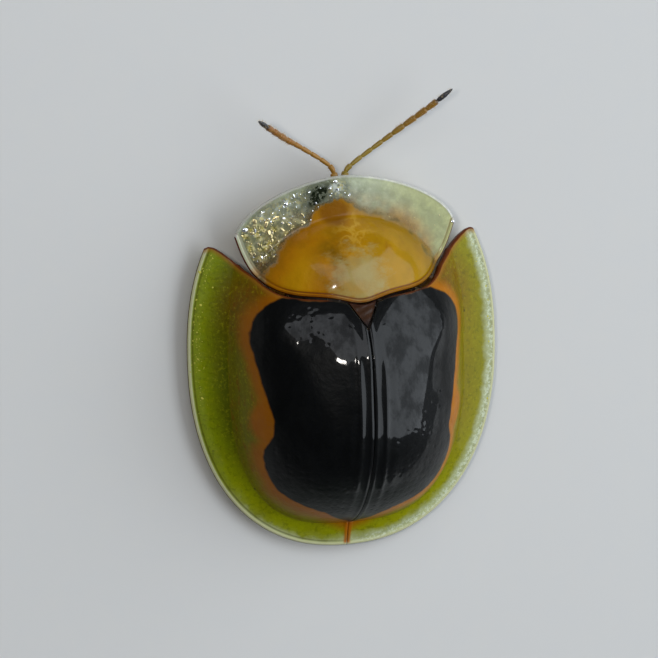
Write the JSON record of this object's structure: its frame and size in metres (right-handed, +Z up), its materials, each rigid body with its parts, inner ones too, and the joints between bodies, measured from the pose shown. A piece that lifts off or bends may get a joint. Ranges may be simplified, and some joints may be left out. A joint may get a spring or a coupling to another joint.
{
  "type": "tortoise beetle",
  "caption": "Life-size tortoise beetle standing under its shield: round domed elytra with a flat see-through rim, wide pronotum over the head, raised antennae and short legs with broad flat feet.",
  "frame": {"origin": "on the ground, under the middle of the whole animal with its antennae; the feet stand on z = 0", "axes": "+Z up, the head points along -Y, the beetle's left side along +X"},
  "size_m": [0.0048, 0.007, 0.002],
  "materials": {
    "elytra": "glossy black disc with an orange-brown border and an olive, see-through rim",
    "pronotum": "glossy amber disc with a clear, pale grey-green rim",
    "scutellum": "smooth red-brown",
    "antenna": "finely haired, orange to olive yellow with dark grey tips",
    "leg": "satin yellow-brown with fine hairs",
    "eye": "glossy black, finely faceted",
    "underside": "semi-gloss black-brown with fine punctures"
  },
  "bodies": {
    "root": {"abdomen": "underside", "antenna_left_club": "antenna", "antenna_left_flagellum": "antenna", "antenna_left_scape": "antenna", "antenna_right_club": "antenna", "antenna_right_flagellum": "antenna", "antenna_right_scape": "antenna", "elytron_left": "elytra", "elytron_right": "elytra", "eye_left": "eye", "eye_right": "eye", "head": "underside", "leg_front_left_femur": "leg", "leg_front_left_tarsus": "leg", "leg_front_left_tibia": "leg", "leg_front_right_femur": "leg", "leg_front_right_tarsus": "leg", "leg_front_right_tibia": "leg", "leg_hind_left_femur": "leg", "leg_hind_left_tarsus": "leg", "leg_hind_left_tibia": "leg", "leg_hind_right_femur": "leg", "leg_hind_right_tarsus": "leg", "leg_hind_right_tibia": "leg", "leg_mid_left_femur": "leg", "leg_mid_left_tarsus": "leg", "leg_mid_left_tibia": "leg", "leg_mid_right_femur": "leg", "leg_mid_right_tarsus": "leg", "leg_mid_right_tibia": "leg", "mesothorax": "underside", "metathorax": "underside", "mouthparts": "leg", "pronotum": "pronotum", "prothorax": "underside", "scutellum": "scutellum"}
  },
  "joints": []
}
